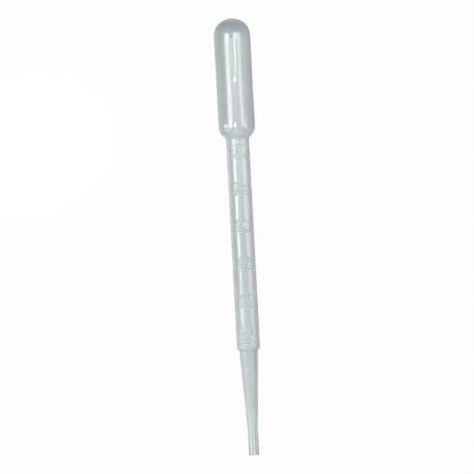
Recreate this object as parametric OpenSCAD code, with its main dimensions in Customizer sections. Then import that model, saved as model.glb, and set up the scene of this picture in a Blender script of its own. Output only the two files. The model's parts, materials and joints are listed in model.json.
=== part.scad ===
// Graduated transfer pipette: a squeeze bulb, a straight stem, a taper and a fine tip, blown as
// one thin shell that is open only at the tip. It lies on its side, as it comes to rest.
// The shell is one revolved outline. Heights in the outline are counted from the tip's end.

/* [Bulb] */
// Outer diameter of the bulb
bulb_d = 12.9; // [10:0.1:16]
// Length from the neck to the top of the dome
bulb_length = 43; // [25:0.5:60]
// Wall of the bulb
bulb_wall = 0.45; // [0.3:0.05:1]
// Slope of the shoulder between neck and bulb, measured from the axis
shoulder_slope = 47; // [30:1:70]
// Radius of the round where the shoulder runs into the bulb
bulb_round = 4.5; // [1.5:0.1:6]
// Radius of the hollow where the shoulder leaves the neck
neck_hollow = 0.6; // [0.2:0.1:2]

/* [Stem] */
// Outer diameter of the stem
stem_d = 8.2; // [7.5:0.1:9.5]
// Length of the stem, from the top of the taper to the neck
stem_length = 75; // [40:0.5:110]
// Wall of the stem
stem_wall = 0.63; // [0.3:0.01:0.9]
// Slope of the step between taper and stem, measured from the axis
step_slope = 60; // [40:1:75]
// Radius of the round where the step runs into the stem
step_round = 1.2; // [0.9:0.1:2]
// Radius of the hollow where the step leaves the taper
step_hollow = 0.3; // [0.1:0.05:0.5]

/* [Taper and tip] */
// Outer diameter at the top of the taper
taper_d = 6.6; // [5.6:0.1:7]
// Length of the taper
taper_length = 28; // [10:0.5:40]
// Wall at the top of the taper
taper_wall = 0.55; // [0.3:0.05:0.8]
// Outer diameter where the taper meets the tip
tip_d = 3.6; // [3.1:0.1:4.6]
// Outer diameter of the tip's open end
tip_end_d = 3.8; // [3.1:0.1:5]
// Length of the tip
tip_length = 9; // [4:0.5:20]
// Diameter of the hole through the tip
tip_bore_d = 2.5; // [1:0.1:2.8]

/* [Graduations] */
// Volume between two marks, in cubic millimetres
mark_volume = 500; // [250:50:1000]
// How many marks the scale has, as far as the straight stem has room for them
mark_count = 6; // [1:1:12]
// Width of a mark where it leaves the stem
mark_width = 0.6; // [0.4:0.05:1]
// How far a mark stands out of the stem
mark_height = 0.15; // [0.05:0.01:0.2]
// How far a mark reaches round the stem, in degrees
mark_arc = 80; // [30:5:150]

/* [Hidden] */
$fn = 96;

// Degrees between two points of an arc, and the least that a crowded step keeps
arc_turn = 5;
least_flank = 0.1;
least_round = 0.1;
overcut = 1;

bulb_r = bulb_d/2;
stem_r = stem_d/2;
taper_r = taper_d/2;
tip_r = tip_d/2;
tip_end_r = tip_end_d/2;
tip_bore_r = tip_bore_d/2;
bulb_bore_r = bulb_r - bulb_wall;
stem_bore_r = stem_r - stem_wall;
taper_bore_r = taper_r - taper_wall;

// Each step is [narrow radius, wide radius, hollow, round, slope]. Inside the shell the hollow
// is larger by the wall and the round is smaller by it.
step = fitted(taper_r, stem_r, step_hollow, step_round, step_slope);
shoulder = fitted(stem_r, bulb_r, neck_hollow, bulb_round, shoulder_slope);
step_bore = fitted(
    taper_bore_r, stem_bore_r, step[2] + taper_wall, step[3] - stem_wall, step_slope
);
shoulder_bore = fitted(
    stem_bore_r, bulb_bore_r, shoulder[2] + stem_wall, shoulder[3] - bulb_wall, shoulder_slope
);

// Heights at which the straight parts start, and of the centres of the rounds and the dome
stem_base = tip_length + taper_length;
neck = stem_base + stem_length;
step_centre = stem_base + step_height(step);
shoulder_centre = neck + step_height(shoulder);
dome_centre = neck + bulb_length - bulb_r;

// Lying down it touches the floor with the shoulder's round, and with the step's round or the
// tip's end, whichever is lower. A ring is [height, radius, radius of its own circle].
shoulder_ring = [shoulder_centre, bulb_r - shoulder[3], shoulder[3]];
step_ring = [step_centre, stem_r - step[3], step[3]];
tip_ring = [0, tip_end_r, 0];
tilt = min(lean(step_ring), lean(tip_ring));
tip_y = -(dome_centre*cos(tilt) + bulb_r - tip_end_r*sin(tilt))/2;
tip_z = shoulder_ring[1]*cos(tilt) + shoulder_ring[2] - shoulder_ring[0]*sin(tilt);

// Volume held below the straight bore of the stem: in the tip, the taper and the step
taper_bore_top = step_centre - step_height(step_bore);
volume_to_stem = frustum(tip_bore_r, tip_bore_r, tip_length)
    + frustum(tip_bore_r, taper_bore_r, taper_bore_top - tip_length)
    + frustum(taper_bore_r, stem_bore_r, step_centre - taper_bore_top);

function frustum(r1, r2, height) = PI*height/3*(r1^2 + r1*r2 + r2^2);

// A mark stands where the pipette, filled from the tip's end, holds the mark's volume
function mark_place(n) = step_centre + (n*mark_volume - volume_to_stem)/(PI*stem_bore_r^2);

function on_stem(place) =
    place > step_centre + mark_width/2 && place < neck - mark_width/2;

// Tilt at which the floor touches the shoulder's ring and this one
function lean(ring) =
    let (span = shoulder_ring - ring)
    asin(span[2]/norm([span[0], span[1]])) + atan2(span[1], span[0]);

// A step whose hollow and round are scaled down where they leave no flank between them
function fitted(narrow, wide, hollow, round, slope) =
    let (kept_round = max(round, least_round))
    let (room = (wide - narrow - least_flank*sin(slope))/(1 - cos(slope)))
    let (share = min(1, room/(hollow + kept_round)))
    [narrow, wide, share*hollow, share*kept_round, slope];

// Height of a step, from the start of its hollow to the end of its round
function step_height(step) =
    let (rounds = step[2] + step[3], slope = step[4])
    let (flank = (step[1] - step[0] - rounds*(1 - cos(slope)))/sin(slope))
    rounds*sin(slope) + flank*cos(slope);

// Points on an arc, from one angle to another
function arc(centre, radius, from, to) =
    let (turns = ceil(abs(to - from)/arc_turn))
    [for (i = [0:turns])
        let (angle = from + (to - from)*i/turns)
        centre + radius*[cos(angle), sin(angle)]];

// Points up a step whose round has its centre at this height
function step_points(step, centre) = concat(
    arc([step[0] + step[2], centre - step_height(step)], step[2], 180, 180 - step[4]),
    arc([step[1] - step[3], centre], step[3], -step[4], 0)
);

// Half outline from the points of a tip, up over both steps to the top of the dome
module outline(tip_points, low_step, high_step) {
    polygon(concat(
        tip_points,
        step_points(low_step, step_centre),
        step_points(high_step, shoulder_centre),
        arc([0, dome_centre], high_step[1], 0, 90)
    ));
}

module shell() {
    rotate_extrude()
        difference() {
            outline([[0, 0], [tip_end_r, 0], [tip_r, tip_length]], step, shoulder);
            outline(
                [[0, -overcut], [tip_bore_r, -overcut], [tip_bore_r, tip_length]],
                step_bore,
                shoulder_bore
            );
        }
}

// A raised line, moulded across the side of the stem that faces up. Its crest is a segment of a
// circle, and its root lies in the wall.
module mark() {
    crest_r = (mark_width^2/4 + mark_height^2)/(2*mark_height);
    root = stem_r - stem_wall/2;
    rotate([0, 0, -90 - mark_arc/2])
        rotate_extrude(angle = mark_arc)
            intersection() {
                translate([stem_r + mark_height - crest_r, 0]) circle(crest_r);
                translate([root, -mark_width]) square([stem_r - root + mark_height, 2*mark_width]);
            }
}

module pipette() {
    color([0.78, 0.84, 0.84, 0.75])
        translate([0, tip_y, tip_z])
            rotate([tilt - 90, 0, 0]) {
                shell();
                for (n = [1:mark_count])
                    if (on_stem(mark_place(n)))
                        translate([0, 0, mark_place(n)]) mark();
            }
}

pipette();
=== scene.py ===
"""A graduated plastic transfer pipette, lying on a pale floor and seen from straight above.

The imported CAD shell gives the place, the lean and the main sizes. One mesh of nearly the same form
stands for it: the outline is revolved finely, the scale stands out of its surface, the dome is a
little flatter, and fine lines and rings mark the end of the tip.
"""

import json
import math

import bpy
import numpy as np
from mathutils import Matrix, Vector


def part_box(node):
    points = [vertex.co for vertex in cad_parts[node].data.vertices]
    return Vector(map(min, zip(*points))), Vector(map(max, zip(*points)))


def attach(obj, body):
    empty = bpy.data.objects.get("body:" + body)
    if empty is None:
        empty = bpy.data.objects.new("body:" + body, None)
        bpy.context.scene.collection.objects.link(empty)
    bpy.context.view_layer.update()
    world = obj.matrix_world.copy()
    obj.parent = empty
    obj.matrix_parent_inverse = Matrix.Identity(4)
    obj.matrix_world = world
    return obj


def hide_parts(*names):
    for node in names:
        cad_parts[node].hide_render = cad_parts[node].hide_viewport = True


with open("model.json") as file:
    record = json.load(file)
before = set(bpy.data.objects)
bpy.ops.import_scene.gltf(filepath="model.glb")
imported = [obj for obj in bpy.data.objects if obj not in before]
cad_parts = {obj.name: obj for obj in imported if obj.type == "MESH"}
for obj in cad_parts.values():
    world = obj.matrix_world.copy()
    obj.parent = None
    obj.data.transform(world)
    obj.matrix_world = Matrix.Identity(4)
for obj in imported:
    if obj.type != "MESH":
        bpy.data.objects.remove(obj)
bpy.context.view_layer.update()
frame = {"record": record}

MM = 0.001
# Lengths and shares under this count as none
TINY = 1e-9
MOUNTS = {mount["name"]: mount for mount in frame["record"]["mounts"]}

# ---- Where the frame says that the pipette lies ----
# Heights along the pipette are in millimetres from the tip's end, as in the part's source.
AXIS = -Vector(MOUNTS["tip_bore"]["axis"]).normalized()
TIP_LENGTH = MOUNTS["tip_bore"]["dims"]["length_mm"]
TIP_BORE_R = MOUNTS["tip_bore"]["dims"]["r_mm"]
TIP_END = Vector(MOUNTS["tip_bore"]["pos_m"]) - AXIS * (TIP_LENGTH * MM / 2)
STEM_R = MOUNTS["stem"]["dims"]["r_mm"]
STEM_MIDDLE = (Vector(MOUNTS["stem"]["pos_m"]) - TIP_END).length / MM
STEP_CENTRE = STEM_MIDDLE - MOUNTS["stem"]["dims"]["length_mm"] / 2
NECK = STEM_MIDDLE + MOUNTS["stem"]["dims"]["length_mm"] / 2
BOX_LOW, BOX_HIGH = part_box("pipette")
BULB_R = (BOX_HIGH.x - BOX_LOW.x) / MM / 2
DOME_CENTRE = ((BOX_HIGH.y - TIP_END.y) / MM - BULB_R) / AXIS.y

# ---- The outline's other sizes, as in the part's source, in millimetres and degrees ----
BULB_WALL = 0.45
STEM_WALL = 0.63
TAPER_WALL = 0.55
TAPER_R = 3.3
TIP_R = 1.8
TIP_END_R = 1.9
# The source's rounds of 0.3 and 1.2, scaled down to the step's room as it does
STEP = {"hollow": 0.2854, "round": 1.1414, "slope": 60}
SHOULDER = {"hollow": 0.6, "round": 4.5, "slope": 47}

# ---- Sizes that only this model has ----
# Round of the tip's rim, and the height of the dome as a share of its radius
RIM_ROUND = 0.12
DOME_SHARE = 0.93

# ---- How finely the shell is cut, in millimetres and degrees ----
# Gap between rings in a number's patch, and the widest gap elsewhere
FINE_GAP = 0.08
COARSE_GAP = 2.5
# Extra rings of points at the tip's end, for the rings that mark it
TIP_ROWS = np.arange(0.2, 3.2, 0.1)
# Widest turn between two points of an arc of the outline, and of the rim
ARC_TURN = 4
RIM_TURN = 30
# The scale's side reaches this far both ways and has a column each FACE_TURN
FACE_ARC = 46
FACE_TURN = 1.0
BACK_TURN = 7

# ---- The scale moulded on the stem, in millimetres and degrees ----
# Cubic millimetres between two marks, and the form of a mark
MARK_VOLUME = 500
MARK_WIDTH = 0.6
MARK_HEIGHT = 0.25
MARK_ARC = 80
NUMBERS = ("0.5", "1.0", "1.5", "2.0", "2.5", "3.0")
UNIT = "mL"
# Cell of a figure, widths of other cells, and the gap between two cells
FIGURE_W = 1.6
FIGURE_H = 3.0
WIDTHS = {".": 0.3, "m": 1.3, "L": 0.9}
FIGURE_GAP = 0.5
# How far over its mark a number stands, and the unit over the highest mark and to the right
BASELINE = 0.85
UNIT_BASELINE = 4.75
UNIT_H = 1.35
UNIT_SHIFT = 0.75
# Half the width of a stroke and of a fleck, and how far both stand out
STROKE_HALF = 0.32
FLECK_HALF = 0.26
STROKE_HEIGHT = 0.3
# Raised flecks and short bars round the lowest figure: ends of each, across and up from its mark
RAISED_FLECKS = (
    ((-1.84, 5.1), (-1.84, 5.2)),
    ((1.7, 4.9), (1.7, 5.0)),
    ((-2.4, 3.2), (-1.9, 2.8)),
    ((-1.3, 2.4), (-1.1, 2.2)),
    ((-0.3, 1.6), (-0.3, 1.4)),
    ((-1.5, 0.85), (-1.4, 0.7)),
    ((-0.45, -0.3), (-0.45, -0.7)),
    ((0.94, 5.2), (0.94, 3.4)),
    ((0.8, 1.2), (0.8, 0.5)),
    ((1.44, 1.6), (1.44, -0.9)),
    ((2.3, 0.1), (2.6, -0.9)),
)

# ---- Lines along the tip and rings round its end, in millimetres and degrees ----
# Turn and strength of each line, its width and depth, and the heights between which all fade out
TIP_LINES = (
    (-130, 0.6),
    (-91, 0.5),
    (-51, 0.6),
    (-12, 0.5),
    (27, 0.9),
    (52, 0.8),
    (91, 0.6),
    (130, 0.8),
    (170, 0.5),
)
LINE_WIDTH = 4.5
LINE_DEPTH = 0.02
LINES_FADE = (TIP_LENGTH - 2, TIP_LENGTH + 1)
# Heights of the rings, their width and depth
TIP_RINGS = (0.45, 1.15, 1.85, 2.5)
RING_WIDTH = 0.17
RING_DEPTH = 0.04

# ---- Slow unevenness of the blown wall ----
# Waves: size in millimetres, turns round the axis, length in millimetres, phase in radians
OUTER_WAVES = ((0.010, 2, 31, 0.4), (0.006, 3, 17, 2.1), (0.004, 5, 11, 4.0))
INNER_WAVES = ((0.050, 1, 60, 2.6), (0.025, 2, 23, 5.1), (0.012, 4, 13, 1.3))
NO_WAVES = ()

# ---- Records on the mesh that the plastic's nodes read ----
# How far the scale stands out, from 0 to 1
RAISED = "raised"
# Painted shade and light on the wall: above 0 it is painted darker, and below 0 paler
PAINTED_SHADE_AND_LIGHT = "shade"


# ---- Outline ----


def arc(centre, radius, start, stop, turn=ARC_TURN):
    """Points (radius, height) on an arc, from one angle to another in degrees."""
    count = max(2, math.ceil(abs(stop - start) / turn) + 1)
    angles = np.radians(np.linspace(start, stop, count))
    return [(centre[0] + radius * math.cos(a), centre[1] + radius * math.sin(a)) for a in angles]


def step_height(narrow, wide, step):
    """Height of a step, from the start of its hollow to the end of its round."""
    slope = math.radians(step["slope"])
    rounds = step["hollow"] + step["round"]
    flank = (wide - narrow - rounds * (1 - math.cos(slope))) / math.sin(slope)
    return rounds * math.sin(slope) + flank * math.cos(slope)


def step_points(narrow, wide, step, centre):
    """Points up a step whose round has its centre at this height."""
    low = centre - step_height(narrow, wide, step)
    slope = step["slope"]
    hollow = arc((narrow + step["hollow"], low), step["hollow"], 180, 180 - slope)
    return hollow + arc((wide - step["round"], centre), step["round"], -slope, 0)


def inside(step, low_wall, high_wall):
    """The same step on the inner wall."""
    return dict(step, hollow=step["hollow"] + low_wall, round=step["round"] - high_wall)


def frustum(low_r, high_r, height):
    """Volume of a cone that is cut off, or of a cylinder."""
    return math.pi * height / 3 * (low_r**2 + low_r * high_r + high_r**2)


def mark_heights():
    """Heights of the marks: the bore holds each mark's volume from the tip's end up to it."""
    bore = STEM_R - STEM_WALL
    taper_bore = TAPER_R - TAPER_WALL
    low = inside(STEP, TAPER_WALL, STEM_WALL)
    base = STEP_CENTRE - step_height(taper_bore, bore, low)
    volume = (
        frustum(TIP_BORE_R, TIP_BORE_R, TIP_LENGTH)
        + frustum(TIP_BORE_R, taper_bore, base - TIP_LENGTH)
        + frustum(taper_bore, bore, STEP_CENTRE - base)
    )
    area = math.pi * bore**2
    return [STEP_CENTRE + ((n + 1) * MARK_VOLUME - volume) / area for n in range(len(NUMBERS))]


SHOULDER_CENTRE = NECK + step_height(STEM_R, BULB_R, SHOULDER)
MARKS = mark_heights()
# How far below and above its mark each number's finely cut patch reaches
LOW_PATCH = (-1.1, 5.5)
PATCH = (-0.5, 4.4)
TOP_PATCH = (-0.5, NECK - MARKS[-1])
PATCHES = [LOW_PATCH] + [PATCH] * (len(MARKS) - 2) + [TOP_PATCH]


def spread(points):
    """The outline with its long pieces cut, so that no gap is wider than COARSE_GAP."""
    out = [points[0]]
    for a, b in zip(points, points[1:]):
        pieces = max(1, math.ceil(math.dist(a, b) / COARSE_GAP))
        out += [tuple(np.array(a) + (np.array(b) - a) * i / pieces) for i in range(1, pieces + 1)]
    return out


def dome(radius):
    """The closed end of the bulb: a half circle, pressed a little flatter."""
    round_end = arc((0, 0), radius, 0, 90)
    return [(r, DOME_CENTRE + height * DOME_SHARE) for r, height in round_end]


def tip_radius(height):
    """The tip's outer radius, which grows a little towards its end."""
    return np.interp(height, (RIM_ROUND, TIP_LENGTH), (TIP_END_R, TIP_R))


def outer_outline():
    """Points (radius, height) of the outer wall, from the top of the dome to the tip's rim."""
    up = [(TIP_END_R, RIM_ROUND)]
    up += [(tip_radius(row), row) for row in TIP_ROWS]
    up += [(TIP_R, TIP_LENGTH)]
    up += step_points(TAPER_R, STEM_R, STEP, STEP_CENTRE)
    for mark, patch in zip(MARKS, PATCHES):
        rows = np.arange(mark + patch[0], mark + patch[1], FINE_GAP)
        up += [(STEM_R, row) for row in rows]
    up += step_points(STEM_R, BULB_R, SHOULDER, SHOULDER_CENTRE)
    up += dome(BULB_R)
    return spread(up)[::-1]


def inner_outline():
    """Points (radius, height) of the inner wall, from the tip's rim to the top of the dome."""
    taper, stem, bulb = TAPER_R - TAPER_WALL, STEM_R - STEM_WALL, BULB_R - BULB_WALL
    up = [(TIP_BORE_R, RIM_ROUND), (TIP_BORE_R, TIP_LENGTH)]
    up += step_points(taper, stem, inside(STEP, TAPER_WALL, STEM_WALL), STEP_CENTRE)
    up += step_points(stem, bulb, inside(SHOULDER, STEM_WALL, BULB_WALL), SHOULDER_CENTRE)
    up += dome(bulb)
    return spread(up)


def rim():
    """Points round the rim of the tip, between the outer and the inner wall."""
    out = arc((TIP_END_R - RIM_ROUND, RIM_ROUND), RIM_ROUND, 0, -90, RIM_TURN)
    back = arc((TIP_BORE_R + RIM_ROUND, RIM_ROUND), RIM_ROUND, -90, -180, RIM_TURN)
    return (out + back)[1:-1]


# ---- Marks and numbers ----


def bow(cx, cy, rx, ry, start, stop, count=12):
    """Points on part of an ellipse, in shares of the cell."""
    angles = np.radians(np.linspace(start, stop, count))
    return [(cx + rx * math.cos(a), cy + ry * math.sin(a)) for a in angles]


# Strokes of each sign, in shares of its cell
STROKES = {
    "0": [bow(0.5, 0.5, 0.5, 0.5, 0, 360, 25)],
    "1": [[(0.12, 0.78), (0.55, 1), (0.55, 0)]],
    "2": [bow(0.5, 0.72, 0.47, 0.28, 170, -35) + [(0.02, 0), (1, 0)]],
    "3": [bow(0.45, 0.76, 0.45, 0.24, 160, -90), bow(0.45, 0.26, 0.52, 0.26, 90, -160)],
    "5": [[(0.95, 1), (0.14, 1), (0.08, 0.56)] + bow(0.45, 0.32, 0.52, 0.32, 125, -150)],
    ".": [[(0.5, 0.02), (0.5, 0.03)]],
    "L": [[(0.15, 1), (0.15, 0), (0.9, 0)]],
    "m": [
        [(0, 0), (0, 0.7)],
        bow(0.25, 0.45, 0.25, 0.25, 180, 0) + [(0.5, 0)],
        bow(0.75, 0.45, 0.25, 0.25, 180, 0) + [(1, 0)],
    ],
}


def text_segments(text, baseline, high, shift=0):
    """The segments of a text's strokes, in millimetres round and along the stem."""
    widths = [WIDTHS.get(figure, FIGURE_W) for figure in text]
    left = shift - (sum(widths) + FIGURE_GAP * (len(text) - 1)) / 2
    found = []
    for figure, width in zip(text, widths):
        for stroke in STROKES[figure]:
            line = [(left + x * width, baseline + y * high) for x, y in stroke]
            found += list(zip(line, line[1:]))
        left += width + FIGURE_GAP
    return found


def distance(points, segments):
    """Distance from each point to the nearest of the segments."""
    best = np.full(len(points), np.inf)
    for a, b in segments:
        a, b = np.array(a), np.array(b)
        along = b - a
        t = np.clip((points - a) @ along / max(along @ along, TINY), 0, 1)
        best = np.minimum(best, np.linalg.norm(points - a - t[:, None] * along, axis=1))
    return best


def crest(gap, half_width, height):
    """Height of a rounded ridge at this distance from its middle line."""
    return height * np.sqrt(np.clip(1 - (gap / half_width) ** 2, 0, None))


def relief(around, height):
    """How far the scale stands out of the stem, at places in millimetres round and along it."""
    out = np.zeros(len(around))
    reach = STEM_R * math.radians(MARK_ARC / 2)
    for mark, patch, number in zip(MARKS, PATCHES, NUMBERS):
        near = (height > mark + patch[0]) & (height < mark + patch[1])
        near &= abs(around) < reach + MARK_WIDTH
        places = np.column_stack((around[near], height[near] - mark))
        line = [((-reach, 0), (reach, 0))]
        ridge = crest(distance(places, line), MARK_WIDTH / 2, MARK_HEIGHT)
        text = text_segments(number, BASELINE, FIGURE_H)
        if mark == MARKS[-1]:
            text += text_segments(UNIT, UNIT_BASELINE, UNIT_H, UNIT_SHIFT)
        out[near] = np.maximum(ridge, crest(distance(places, text), STROKE_HALF, STROKE_HEIGHT))
        if mark == MARKS[0]:
            flecks = crest(distance(places, RAISED_FLECKS), FLECK_HALF, STROKE_HEIGHT)
            out[near] = np.maximum(out[near], flecks)
    return out


# ---- Painted shade and light on the wall ----

# Heights at which the bands' values are given
BAND_STEPS = (
    TIP_LENGTH,
    TIP_LENGTH + 5,
    STEP_CENTRE - 1,
    STEP_CENTRE + 1,
    NECK,
    SHOULDER_CENTRE + 3,
)
# The dark band on the right, painted shade where the wall is seen edge-on: turn in degrees,
# strength, and width in degrees
BAND_TURN = (BAND_STEPS, (28, 41, 41, 59, 60, 67))
BAND_AMOUNT = (BAND_STEPS, (1.4, 1.1, 1.2, 1, 1, 2.3))
BAND_WIDTH = (BAND_STEPS, (6, 10, 11, 4, 4, 4.5))
# The fainter band of painted shade on the left
LEFT_AMOUNT = (BAND_STEPS, (0, 0, 0, 0.35, 0.7, 0.5))
LEFT_TURN = -46
LEFT_WIDTH = 9
# The pale band near the left edge, a painted highlight
PALE_AMOUNT = (BAND_STEPS, (0.8, 0.8, 0.8, 1, 1, 0.2))
PALE_TURN = -78
PALE_WIDTH = 12
# Darkness of the tip's lines and rings: painted shade along their grooves
TIP_SHADE = 3.2
RING_SHADE = 0.8
# A pale cloud of painted highlight round the lowest figure: strength, height over its mark, reach,
# and reach in turn
PAINTED_SHEEN = 0.35
PAINTED_SHEEN_HEIGHT = 0.9
PAINTED_SHEEN_REACH = 3.2
PAINTED_SHEEN_TURN = 35


def wrapped(angles):
    """The same angles in radians, within half a turn of the scale's middle."""
    return (angles + math.pi) % (2 * math.pi) - math.pi


def bell(value, middle, width):
    """1 in the middle, falling off smoothly on both sides."""
    return np.exp(-(((value - middle) / width) ** 2))


def tip_lines(angles, height):
    """Strength of the lines along the tip."""
    turned = np.degrees(wrapped(angles))
    lines = sum(share * bell(turned, turn, LINE_WIDTH) for turn, share in TIP_LINES)
    return lines * np.interp(height, LINES_FADE, (1, 0))


def tip_rings(height):
    """Strength of the rings round the tip's end."""
    return sum(bell(height, place, RING_WIDTH) for place in TIP_RINGS)


def painted_tone(heights, angles):
    """Painted shade and light on the outer wall: dark bands, shaded tip grooves, pale highlights."""
    turned = np.degrees(wrapped(angles))
    width = np.interp(heights, *BAND_WIDTH)
    band = np.interp(heights, *BAND_AMOUNT) * bell(turned, np.interp(heights, *BAND_TURN), width)
    left = np.interp(heights, *LEFT_AMOUNT) * bell(turned, LEFT_TURN, LEFT_WIDTH)
    pale = np.interp(heights, *PALE_AMOUNT) * bell(turned, PALE_TURN, PALE_WIDTH)
    tip = TIP_SHADE * tip_lines(angles, heights) + RING_SHADE * tip_rings(heights)
    low = bell(heights, MARKS[0] + PAINTED_SHEEN_HEIGHT, PAINTED_SHEEN_REACH)
    return band + left + tip - pale - PAINTED_SHEEN * low * bell(turned, 0, PAINTED_SHEEN_TURN)


# ---- Shell ----


def columns():
    """Angles round the axis, in radians, 0 where the scale is: close together near the scale."""
    face = np.arange(-FACE_ARC, FACE_ARC, FACE_TURN)
    back = np.linspace(FACE_ARC, 360 - FACE_ARC, math.ceil((360 - 2 * FACE_ARC) / BACK_TURN) + 1)
    return np.radians(np.concatenate((face, back[:-1])))


def uneven(angles, height, waves):
    """How far the waves move the wall out of one ring."""
    out = np.zeros(len(angles))
    for size, turns, length, phase in waves:
        out += size * np.sin(turns * angles + 2 * math.pi * height / length + phase)
    return out


def ring_relief(radius, height, angles):
    """How far the scale stands out of one ring of the outer wall."""
    if abs(radius - STEM_R) > TINY:
        return np.zeros(len(angles))
    return relief(wrapped(angles) * STEM_R, np.full(len(angles), height))


def tip_grooves(height, angles):
    """How deep the tip's lines and rings go into one ring of the outer wall."""
    return LINE_DEPTH * tip_lines(angles, height) + RING_DEPTH * tip_rings(height)


def ring_points(radius, height, angles, waves, raised=0):
    """One ring of the shell, in the pipette's own frame: X across, -Y up and Z along."""
    fade = min(1, radius / TAPER_R)
    local = radius + fade * uneven(angles, height, waves) + raised
    along = np.full(len(angles), height)
    return np.column_stack((local * np.sin(angles), -local * np.cos(angles), along))


def shell_rings(angles):
    """All rings, from the outer dome over the rim to the inner dome, and the relief of the outer
    ones."""
    outer, inner = outer_outline()[1:], inner_outline()[:-1]
    raised = [ring_relief(r, h, angles) for r, h in outer]
    rings = [
        ring_points(r, h, angles, OUTER_WAVES, up - tip_grooves(h, angles))
        for (r, h), up in zip(outer, raised)
    ]
    rings += [ring_points(r, h, angles, NO_WAVES) for r, h in rim()]
    rings += [ring_points(r, h, angles, INNER_WAVES) for r, h in inner]
    return rings, raised


def shell_faces(rings, around):
    """Quads between neighbouring rings, and a fan of triangles at each pole."""
    first, last = rings * around, rings * around + 1
    faces = []
    for i in range(around):
        j = (i + 1) % around
        faces.append((first, i, j))
        for ring in range(rings - 1):
            a, b = ring * around, (ring + 1) * around
            faces.append((a + i, b + i, b + j, a + j))
        end = (rings - 1) * around
        faces.append((end + i, last, end + j))
    return faces


def shell():
    """Points, faces and records of one closed shell, with a pole at the top of each dome."""
    angles = columns()
    rings, raised = shell_rings(angles)
    poles = [(0, 0, dome(r)[-1][1]) for r in (BULB_R, BULB_R - BULB_WALL)]
    points = np.concatenate(rings + [np.array(poles)])
    outside = len(raised) * len(angles)
    around = np.arctan2(points[:outside, 0], -points[:outside, 1])
    records = {RAISED: np.zeros(len(points)), PAINTED_SHADE_AND_LIGHT: np.zeros(len(points))}
    records[RAISED][:outside] = np.concatenate(raised) / STROKE_HEIGHT
    records[PAINTED_SHADE_AND_LIGHT][:outside] = painted_tone(points[:outside, 2], around)
    return points * MM, shell_faces(len(rings), len(angles)), records


def lying_down():
    """The matrix from the pipette's own frame to the row frame."""
    down = AXIS.cross(Vector((1, 0, 0)))
    across = Matrix(((1, 0, 0), down, AXIS)).transposed()
    return Matrix.Translation(TIP_END) @ across.to_4x4()


def add_object(name, data):
    """A new object in the scene."""
    made = bpy.data.objects.new(name, data)
    bpy.context.scene.collection.objects.link(made)
    return made


def make_pipette(material):
    """The whole pipette, as the one piece that stands for its CAD node."""
    points, faces, records = shell()
    mesh = bpy.data.meshes.new("pipette_shell")
    mesh.from_pydata(points.tolist(), [], faces)
    for name, values in records.items():
        mesh.attributes.new(name, "FLOAT", "POINT").data.foreach_set("value", values)
    mesh.transform(lying_down())
    mesh.shade_smooth()
    mesh.materials.append(material)
    piece = add_object("pipette_shell", mesh)
    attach(piece, "root")
    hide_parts("pipette")


# ---- Nodes ----

# The Mix node's colour sockets, whose names its other sockets have too
MIX_SHARE, MIX_FIRST, MIX_SECOND, MIX_RESULT = 0, 6, 7, 2
# Where a noise's values usually lie
NOISE_RANGE = (0.3, 0.7)


def new_material(name):
    """A material without nodes, and its node tree."""
    material = bpy.data.materials.new(name)
    material.use_nodes = True
    material.node_tree.nodes.clear()
    return material, material.node_tree


def fill(tree, socket, value):
    """Links another node's socket to this one, or sets its value."""
    if isinstance(value, bpy.types.NodeSocket):
        tree.links.new(value, socket)
    else:
        socket.default_value = value


def node(tree, kind, **inputs):
    """A new node with these inputs. In their names an underscore stands for a space."""
    made = tree.nodes.new(kind)
    for name, value in inputs.items():
        fill(tree, made.inputs[name.replace("_", " ")], value)
    return made


def maths(tree, operation, first, second):
    """The result of a Math node on two sockets or numbers."""
    made = tree.nodes.new("ShaderNodeMath")
    made.operation = operation
    fill(tree, made.inputs[0], first)
    fill(tree, made.inputs[1], second)
    return made.outputs[0]


def mixed(tree, share, first, second):
    """A colour between two colours. The node clamps its share to 0 and 1."""
    made = tree.nodes.new("ShaderNodeMix")
    made.data_type = "RGBA"
    fill(tree, made.inputs[MIX_SHARE], share)
    fill(tree, made.inputs[MIX_FIRST], first)
    fill(tree, made.inputs[MIX_SECOND], second)
    return made.outputs[MIX_RESULT]


def ramp(tree, value, start, end, low=0.0, high=1.0):
    """A Map Range node: low up to the value start, and high from the value end on."""
    ends = {"From_Min": start, "From_Max": end, "To_Min": low, "To_Max": high}
    return node(tree, "ShaderNodeMapRange", Value=value, **ends)


def between(tree, noise, low, high):
    """A number that goes from low to high as a noise goes through its usual range."""
    return ramp(tree, noise, *NOISE_RANGE, low, high).outputs["Result"]


def own_place(tree):
    """Places on the piece, in metres of the row frame."""
    return node(tree, "ShaderNodeTexCoord").outputs["Object"]


def beyond(tree, near, far):
    """0 up to one place along Y and 1 beyond the other, in metres."""
    split = node(tree, "ShaderNodeSeparateXYZ", Vector=own_place(tree))
    return ramp(tree, split.outputs["Y"], near, far).outputs["Result"]


def recorded(tree, name):
    """One of the mesh's own records: RAISED or PAINTED_SHADE_AND_LIGHT."""
    read = tree.nodes.new("ShaderNodeAttribute")
    read.attribute_name = name
    return read.outputs["Fac"]


def streaks(tree, across, along, detail):
    """Noise from 0 to 1, with lumps this wide and this long along the pipette, in metres."""
    turned = node(
        tree,
        "ShaderNodeMapping",
        Vector=own_place(tree),
        Rotation=(-math.asin(AXIS.z), 0, 0),
        Scale=(1 / across, 1 / along, 1 / across),
    )
    noise = node(tree, "ShaderNodeTexNoise", Vector=turned.outputs[0], Scale=1.0, Detail=detail)
    return noise.outputs["Fac"]


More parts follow.
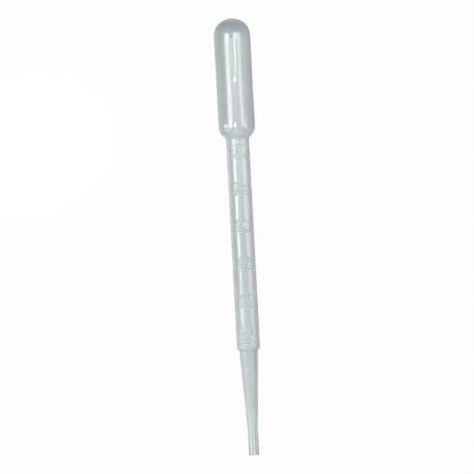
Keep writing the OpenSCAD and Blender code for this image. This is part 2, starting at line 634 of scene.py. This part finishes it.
def spot(tree, middle, size, edge):
    """1 in the middle of an ellipsoid of these half sizes, 0 outside it, and soft from edge on."""
    moved = tree.nodes.new("ShaderNodeMapping")
    moved.vector_type = "TEXTURE"
    fill(tree, moved.inputs["Vector"], own_place(tree))
    fill(tree, moved.inputs["Location"], middle)
    fill(tree, moved.inputs["Scale"], size)
    away = tree.nodes.new("ShaderNodeVectorMath")
    away.operation = "LENGTH"
    fill(tree, away.inputs[0], moved.outputs[0])
    made = ramp(tree, away.outputs["Value"], edge, 1.0, 1.0, 0.0)
    made.interpolation_type = "SMOOTHSTEP"
    return made.outputs["Result"]


# ---- Plastic: lengths in metres ----

TIP_COLOUR = (0.92, 0.985, 0.975, 1)
STEM_COLOUR = (0.715, 0.795, 0.795, 1)
BULB_REACH = (0.034, 0.040)
BULB_COLOUR = (0.67, 0.722, 0.722, 1)
# Regions coloured apart, among them painted shade on the dome and a painted highlight at its far
# edge:
# the places along Y where each starts and is full
REGIONS = (
    ((0.050, 0.062), (0.645, 0.71, 0.695, 1)),  # the bulb's upper part
    # Painted shade: the dome is darker
    ((0.067, 0.0735), (0.615, 0.705, 0.72, 1)),  # the dome
    # A painted highlight: the dome's far edge is paler
    ((0.0752, 0.0766), (0.95, 0.98, 0.98, 1)),  # the dome's far edge
    ((-0.060, -0.072), (0.93, 0.985, 0.985, 1)),  # the tip
)
# Cloudiness: size of its lumps, and the most that it colours
CLOUD = {"across": 0.004, "along": 0.012, "detail": 3.0}
CLOUD_SHARE = 0.5
CLOUD_COLOUR = (0.735, 0.79, 0.805, 1)
# Drawn lines: size, height, colour, and how much they colour at the tip's end and from this share
# of the pipette's length on
DRAWN = {"across": 0.0008, "along": 0.04, "detail": 2.0}
DRAWN_HEIGHT = 0.000006
DRAWN_COLOUR = (0.62, 0.67, 0.68, 1)
DRAWN_SHARES = (0.55, 0.1)
DRAWN_FADE = 0.35
# Colours of the record's painted shade and painted light, and how strongly each is mixed in
PAINTED_SHADE_COLOUR = (0.42, 0.47, 0.49, 1)
PAINTED_SHADE_SHARE = 0.5
PAINTED_LIGHT_COLOUR = (0.96, 0.98, 0.98, 1)
PAINTED_LIGHT_SHARE = 0.8
# A small dark spot near the top of the bulb
SPECK_PLACE = (-0.00025, 0.0708, 0.0135)
SPECK_SIZE = (0.0009, 0.0014, 0.004)
SPECK_EDGE = 0.0
SPECK_COLOUR = (0.4, 0.46, 0.47, 1)
# Painted sparkles round the lowest figure: pale flecks that stand in for glints. Their size, the
# noise values between which they come up, and where they are: millimetres over the lowest mark, half
# sizes, and where those start to fade
SPARKLE_SIZE = 0.0006
SPARKLE_CUT = (0.50, 0.57)
SPARKLE_HEIGHT = 2.2
SPARKLE_REACH = (0.0034, 0.0040, 0.02)
SPARKLE_EDGE = 0.8
# The raised scale: its whitish colour, partly frosted plastic and partly a painted highlight, also
# used for the painted sparkles; its extra roughness, and the height and size of its grain
FROST_AND_SPARKLE_COLOUR = (0.97, 1.0, 1.0, 1)
FROST_ROUGHNESS = 0.1
GRAIN_HEIGHT = 0.0001
GRAIN_SIZE = 0.0005
# The surface elsewhere
ROUGHNESS = (0.08, 0.12)
IOR = 1.51
TRANSMISSION = 0.66
SPECULAR = 1.0


def painted_sparkles(tree):
    """1 on small pale painted sparkles in the wall round the lowest figure, 0 elsewhere."""
    size = 1 / SPARKLE_SIZE
    flat = node(tree, "ShaderNodeMapping", Vector=own_place(tree), Scale=(size, size, 0))
    noise = node(tree, "ShaderNodeTexNoise", Vector=flat.outputs[0], Scale=1.0, Detail=0.0)
    dots = ramp(tree, noise.outputs["Fac"], *SPARKLE_CUT)
    middle = TIP_END + AXIS * (MARKS[0] + SPARKLE_HEIGHT) * MM
    near = spot(tree, middle, SPARKLE_REACH, SPARKLE_EDGE)
    return maths(tree, "MULTIPLY", dots.outputs["Result"], near)


def body_colour(tree, cloud, lines):
    """Colour along the pipette: paler at the thin tip, darker in the bulb, cloudy and lined."""
    along = beyond(tree, BOX_LOW.y, BOX_HIGH.y)
    colour = mixed(tree, along, TIP_COLOUR, STEM_COLOUR)
    colour = mixed(tree, beyond(tree, *BULB_REACH), colour, BULB_COLOUR)
    colour = mixed(tree, between(tree, cloud, 0.0, CLOUD_SHARE), colour, CLOUD_COLOUR)
    share = ramp(tree, along, 0.0, DRAWN_FADE, *DRAWN_SHARES).outputs["Result"]
    drawn = maths(tree, "MULTIPLY", between(tree, lines, 0.0, 1.0), share)
    colour = mixed(tree, drawn, colour, DRAWN_COLOUR)
    # Painted shade darkens the dome and a painted highlight pales its far edge
    for reach, region_colour in REGIONS:
        colour = mixed(tree, beyond(tree, *reach), colour, region_colour)
    return colour


def plastic_colour(tree, cloud, lines, raised):
    """The body's colour with painted shade and light, a dark spot, painted sparkles and the whitish
    scale.
    """
    colour = body_colour(tree, cloud, lines)
    shade = recorded(tree, PAINTED_SHADE_AND_LIGHT)
    # Painted shade from the record's dark side and painted light from its pale side
    colour = mixed(tree, maths(tree, "MULTIPLY", shade, PAINTED_SHADE_SHARE), colour, PAINTED_SHADE_COLOUR)
    colour = mixed(tree, maths(tree, "MULTIPLY", shade, -PAINTED_LIGHT_SHARE), colour, PAINTED_LIGHT_COLOUR)
    speck = spot(tree, SPECK_PLACE, SPECK_SIZE, SPECK_EDGE)
    colour = mixed(tree, speck, colour, SPECK_COLOUR)
    # Painted sparkles round the lowest figure
    colour = mixed(tree, painted_sparkles(tree), colour, FROST_AND_SPARKLE_COLOUR)
    # The raised scale whitened: partly frosted plastic, partly a painted highlight
    return mixed(tree, raised, colour, FROST_AND_SPARKLE_COLOUR)


def surface_height(tree, lines, raised):
    """Height of the fine unevenness in metres: drawn lines, and a grain on the scale alone."""
    scale = 1 / GRAIN_SIZE
    grain = node(tree, "ShaderNodeTexNoise", Vector=own_place(tree), Scale=scale, Detail=1.0)
    grained = maths(tree, "MULTIPLY", raised, GRAIN_HEIGHT)
    rough = maths(tree, "MULTIPLY", grain.outputs["Fac"], grained)
    return maths(tree, "ADD", rough, maths(tree, "MULTIPLY", lines, DRAWN_HEIGHT))


def plastic():
    """Glossy, translucent plastic, a little cloudy, and rougher where the scale stands out."""
    material, tree = new_material("translucent_plastic")
    lines = streaks(tree, **DRAWN)
    cloud = streaks(tree, **CLOUD)
    raised = recorded(tree, RAISED)
    height = surface_height(tree, lines, raised)
    bump = node(tree, "ShaderNodeBump", Height=height, Strength=1.0, Distance=1.0)
    frost = maths(tree, "MULTIPLY", raised, FROST_ROUGHNESS)
    shader = node(
        tree,
        "ShaderNodeBsdfPrincipled",
        Base_Color=plastic_colour(tree, cloud, lines, raised),
        Roughness=maths(tree, "ADD", between(tree, cloud, *ROUGHNESS), frost),
        IOR=IOR,
        Transmission_Weight=TRANSMISSION,
        Specular_IOR_Level=SPECULAR,
        Normal=bump.outputs[0],
    )
    node(tree, "ShaderNodeOutputMaterial", Surface=shader.outputs["BSDF"])
    return material


# ---- Floor and room: lengths in metres ----

WHITE = (1, 1, 1, 1)
FLOOR_HALF = 6.0
FLOOR_EDGE = 0.6
# What light meets, and how much of the floor is its own plain white to the camera and in mirrors
FLOOR_COLOUR = (0.5, 0.5, 0.5, 1)
SEEN_SHARE = 0.965
MIRRORED_SHARE = 0.3
WORLD_STRENGTH = 0.22


def floor_material():
    """A white floor. Most of what is seen of it is its own plain white, so its shadow is faint."""
    material, tree = new_material("white_floor")
    rays = node(tree, "ShaderNodeLightPath").outputs
    mirrored = maths(tree, "MAXIMUM", rays["Is Glossy Ray"], rays["Is Transmission Ray"])
    to_camera = maths(tree, "MULTIPLY", rays["Is Camera Ray"], SEEN_SHARE)
    to_mirror = maths(tree, "MULTIPLY", mirrored, MIRRORED_SHARE)
    paint = node(tree, "ShaderNodeBsdfDiffuse", Color=FLOOR_COLOUR)
    glow = node(tree, "ShaderNodeEmission", Color=WHITE, Strength=1.0)
    mix = node(tree, "ShaderNodeMixShader", Fac=maths(tree, "MAXIMUM", to_camera, to_mirror))
    fill(tree, mix.inputs[1], paint.outputs[0])
    fill(tree, mix.inputs[2], glow.outputs[0])
    node(tree, "ShaderNodeOutputMaterial", Surface=mix.outputs[0])
    return material


def make_floor():
    """A wide floor whose far edges turn up, so that low views have the same plain background."""
    mesh = bpy.data.meshes.new("floor")
    corners = ((-1, -1), (1, -1), (1, 1), (-1, 1))
    points = [(x * FLOOR_HALF, y * FLOOR_HALF, z) for z in (0, FLOOR_EDGE) for x, y in corners]
    edges = [(i, i + 4, (i + 1) % 4 + 4, (i + 1) % 4) for i in range(4)]
    mesh.from_pydata(points, [], [(0, 1, 2, 3)] + edges)
    mesh.materials.append(floor_material())
    floor = add_object("floor", mesh)


def make_world():
    """A faint even light from all round."""
    world = bpy.data.worlds.new("studio")
    bpy.context.scene.world = world
    world.use_nodes = True
    tree = world.node_tree
    tree.nodes.clear()
    room = node(tree, "ShaderNodeBackground", Color=WHITE, Strength=WORLD_STRENGTH)
    node(tree, "ShaderNodeOutputWorld", Surface=room.outputs[0])


# ---- Lamps ----
# Turns are in degrees about the pipette's axis, 0 being straight up and more towards +X. Other
# lengths are in metres. A radiance of 1 is as bright as the white floor.

CAMERA_HEIGHT = 1.4
PLAIN = (1.0, 1.0, 1.0)
VIOLET = (1.0, 0.93, 0.99)
MINT = (0.95, 1.0, 0.985)
# Name, turns between which the lamp stands, places along Y between which the plastic mirrors it,
# height, radiance, colour
HIGH_LAMPS = (
    ("overhead_box", (-56, 52), (-0.05, 0.13), 0.62, 0.9, PLAIN),
    ("tip_box", (-56, 52), (-0.45, -0.05), 0.62, 0.8, PLAIN),
    ("tip_left_box", (-88, -50), (-0.3, -0.04), 0.2, 1.8, MINT),
    ("stem_skirt", (-66, -18), (-0.045, 0.034), 0.4, 0.8, MINT),
    ("key_bulb", (-47, -23), (0.0395, 0.1), 0.15, 3.9, PLAIN),
    ("key_stem", (-55, -31), (-0.012, 0.0385), 0.4, 4.0, MINT),
    ("key_fade", (-55, -31), (-0.05, -0.012), 0.4, 1.9, MINT),
    ("key_neck", (-55, -20), (0.0300, 0.0355), 0.15, 2.8, MINT),
    ("right_stem", (38, 62), (-0.012, 0.0385), 0.4, 3.0, VIOLET),
    ("right_fade", (38, 62), (-0.05, -0.012), 0.4, 1.6, VIOLET),
    ("right_box", (50, 84), (0.034, 0.13), 0.3, 0.9, VIOLET),
    ("right_low_box", (56, 84), (-0.3, 0.034), 0.3, 2.1, VIOLET),
)
# Low over the bulb, for bright patches with sharp ends: the same values, with the turns between
# which the bulb mirrors the lamp
LOW_LAMPS = (
    ("right_bulb", (29, 48), (0.0385, 0.079), 0.06, 2.6, VIOLET),
    ("bulb_box", (-26, 46), (0.037, 0.0695), 0.06, 0.65, VIOLET),
    ("bulb_strip", (7, 17), (0.0583, 0.079), 0.04, 4.6, PLAIN),
    ("bulb_line", (-12.0, -7.0), (0.0583, 0.0695), 0.04, 1.9, PLAIN),
    ("spark", (-0.8, 5.2), (0.0552, 0.0561), 0.04, 45.0, PLAIN),
    ("glint_middle", (-12.8, -6.2), (0.0382, 0.0388), 0.04, 80.0, PLAIN),
    ("glint_left", (-81.5, -76), (0.0364, 0.0375), 0.025, 100.0, PLAIN),
    ("top_left_block", (-51, -18), (0.0695, 0.079), 0.04, 1.9, PLAIN),
    ("top_strip_block", (14, 27), (0.0695, 0.079), 0.04, 3.2, PLAIN),
    ("top_right_block", (32, 51), (0.0695, 0.079), 0.04, 0.8, PLAIN),
)
# Small and bright beyond the tip's end, for sparks on the figures, and one large box that the
# shoulder mirrors: name, turn, degrees from straight up towards the tip, distance, size, radiance
GLINT_AWAY = 0.8
GLINT_SIZE = 2 * GLINT_AWAY * math.tan(math.radians(3) / 2)
GLINTS = (
    ("glint_far_left", -8, 20, GLINT_AWAY, GLINT_SIZE, 40.0),
    ("glint_low_left", -72, 20, GLINT_AWAY, GLINT_SIZE, 45.0),
    ("glint_far_right", 28, 34, GLINT_AWAY, GLINT_SIZE, 40.0),
)
END_BOX = ("end_box", 0, 62, 1.1, 1.0, 1.3)


def add_lamp(name, size, radiance, colour, matrix):
    """A rectangular lamp that the camera doesn't see. It shines along its own -Z."""
    data = bpy.data.lights.new(name, "AREA")
    data.shape = "RECTANGLE"
    data.size, data.size_y = size
    data.energy = radiance * math.pi * data.size * data.size_y
    data.color = colour
    lamp = add_object(name, data)
    lamp.matrix_world = matrix
    lamp.visible_camera = False


def mirrored_ends(reach, over):
    """Where along Y a lamp this far over the plastic has its ends, to be mirrored in this reach."""
    tipped = math.tan(2 * math.asin(AXIS.z))
    return [y + over * (y / CAMERA_HEIGHT - tipped) for y in reach]


def add_high_lamp(name, turns, reach, height, radiance, colour):
    """A soft box high over the pipette, which faces its line on the floor."""
    middle = math.radians(sum(turns) / 2)
    half = math.radians(turns[1] - turns[0]) / 2
    away = Vector((math.sin(middle), 0, math.cos(middle)))
    distance_m = height / math.cos(middle)
    ends = mirrored_ends(reach, height)
    place = away * distance_m + Vector((0, sum(ends) / 2, 0))
    side = Vector((0, 1, 0)).cross(away)
    turn = Matrix((side, (0, 1, 0), away)).transposed().to_4x4()
    size = (2 * distance_m * math.tan(half), ends[1] - ends[0])
    add_lamp(name, size, radiance, colour, Matrix.Translation(place) @ turn)


def add_low_lamp(name, turns, reach, height, radiance, colour):
    """A flat lamp low over the bulb, facing down."""
    bulb_m = BULB_R * MM
    sides = []
    for turn in turns:
        tilt = math.radians(turn) / 2
        over = height - bulb_m * (1 + math.cos(tilt))
        sides.append(bulb_m * math.sin(tilt) + over * math.tan(2 * tilt))
    ends = mirrored_ends(reach, height - 2 * bulb_m)
    place = Vector((sum(sides) / 2, sum(ends) / 2, height))
    size = (sides[1] - sides[0], ends[1] - ends[0])
    add_lamp(name, size, radiance, colour, Matrix.Translation(place))


def add_far_lamp(name, turn, tipwards, distance_m, size, radiance):
    """A square lamp at this distance from the row's middle, facing it."""
    turned, tipped = math.radians(turn), math.radians(tipwards)
    level = math.cos(tipped)
    away = Vector((math.sin(turned) * level, -math.sin(tipped), math.cos(turned) * level))
    facing = away.to_track_quat("Z", "Y").to_matrix().to_4x4()
    matrix = Matrix.Translation(away * distance_m) @ facing
    add_lamp(name, (size, size), radiance, PLAIN, matrix)


def make_lights():
    """All lamps."""
    for lamp in HIGH_LAMPS:
        add_high_lamp(*lamp)
    for lamp in GLINTS:
        add_far_lamp(*lamp)
    for lamp in LOW_LAMPS:
        add_low_lamp(*lamp)
    add_far_lamp(*END_BOX)


# ---- Camera ----

SENSOR = 36
# Width of the view at the pipette's height, and how far its middle lies right of and above the
# view's middle, in millimetres
VIEW_WIDTH = 167.46
VIEW_OFFSET = (2.003, 0.194)
# Degrees from the row's +Y to the picture's up
VIEW_LEAN = 3.035


def make_camera():
    """A camera that looks straight down on the pipette, a little turned and off its middle."""
    data = bpy.data.cameras.new("camera")
    data.sensor_width = SENSOR
    middle = TIP_END + AXIS * (DOME_CENTRE + BULB_R) * MM / 2
    data.lens = SENSOR * (CAMERA_HEIGHT - middle.z) / (VIEW_WIDTH * MM)
    lean = math.radians(VIEW_LEAN)
    right = Vector((math.cos(lean), -math.sin(lean), 0))
    up = Vector((math.sin(lean), math.cos(lean), 0))
    place = middle - (right * VIEW_OFFSET[0] + up * VIEW_OFFSET[1]) * MM
    place.z = CAMERA_HEIGHT
    camera = add_object("camera", data)
    turn = Matrix((right, up, Vector((0, 0, 1)))).transposed().to_4x4()
    camera.matrix_world = Matrix.Translation(place) @ turn
    bpy.context.scene.camera = camera


make_pipette(plastic())
make_floor()
make_world()
make_lights()
make_camera()
bpy.context.scene.view_settings.view_transform = "Standard"
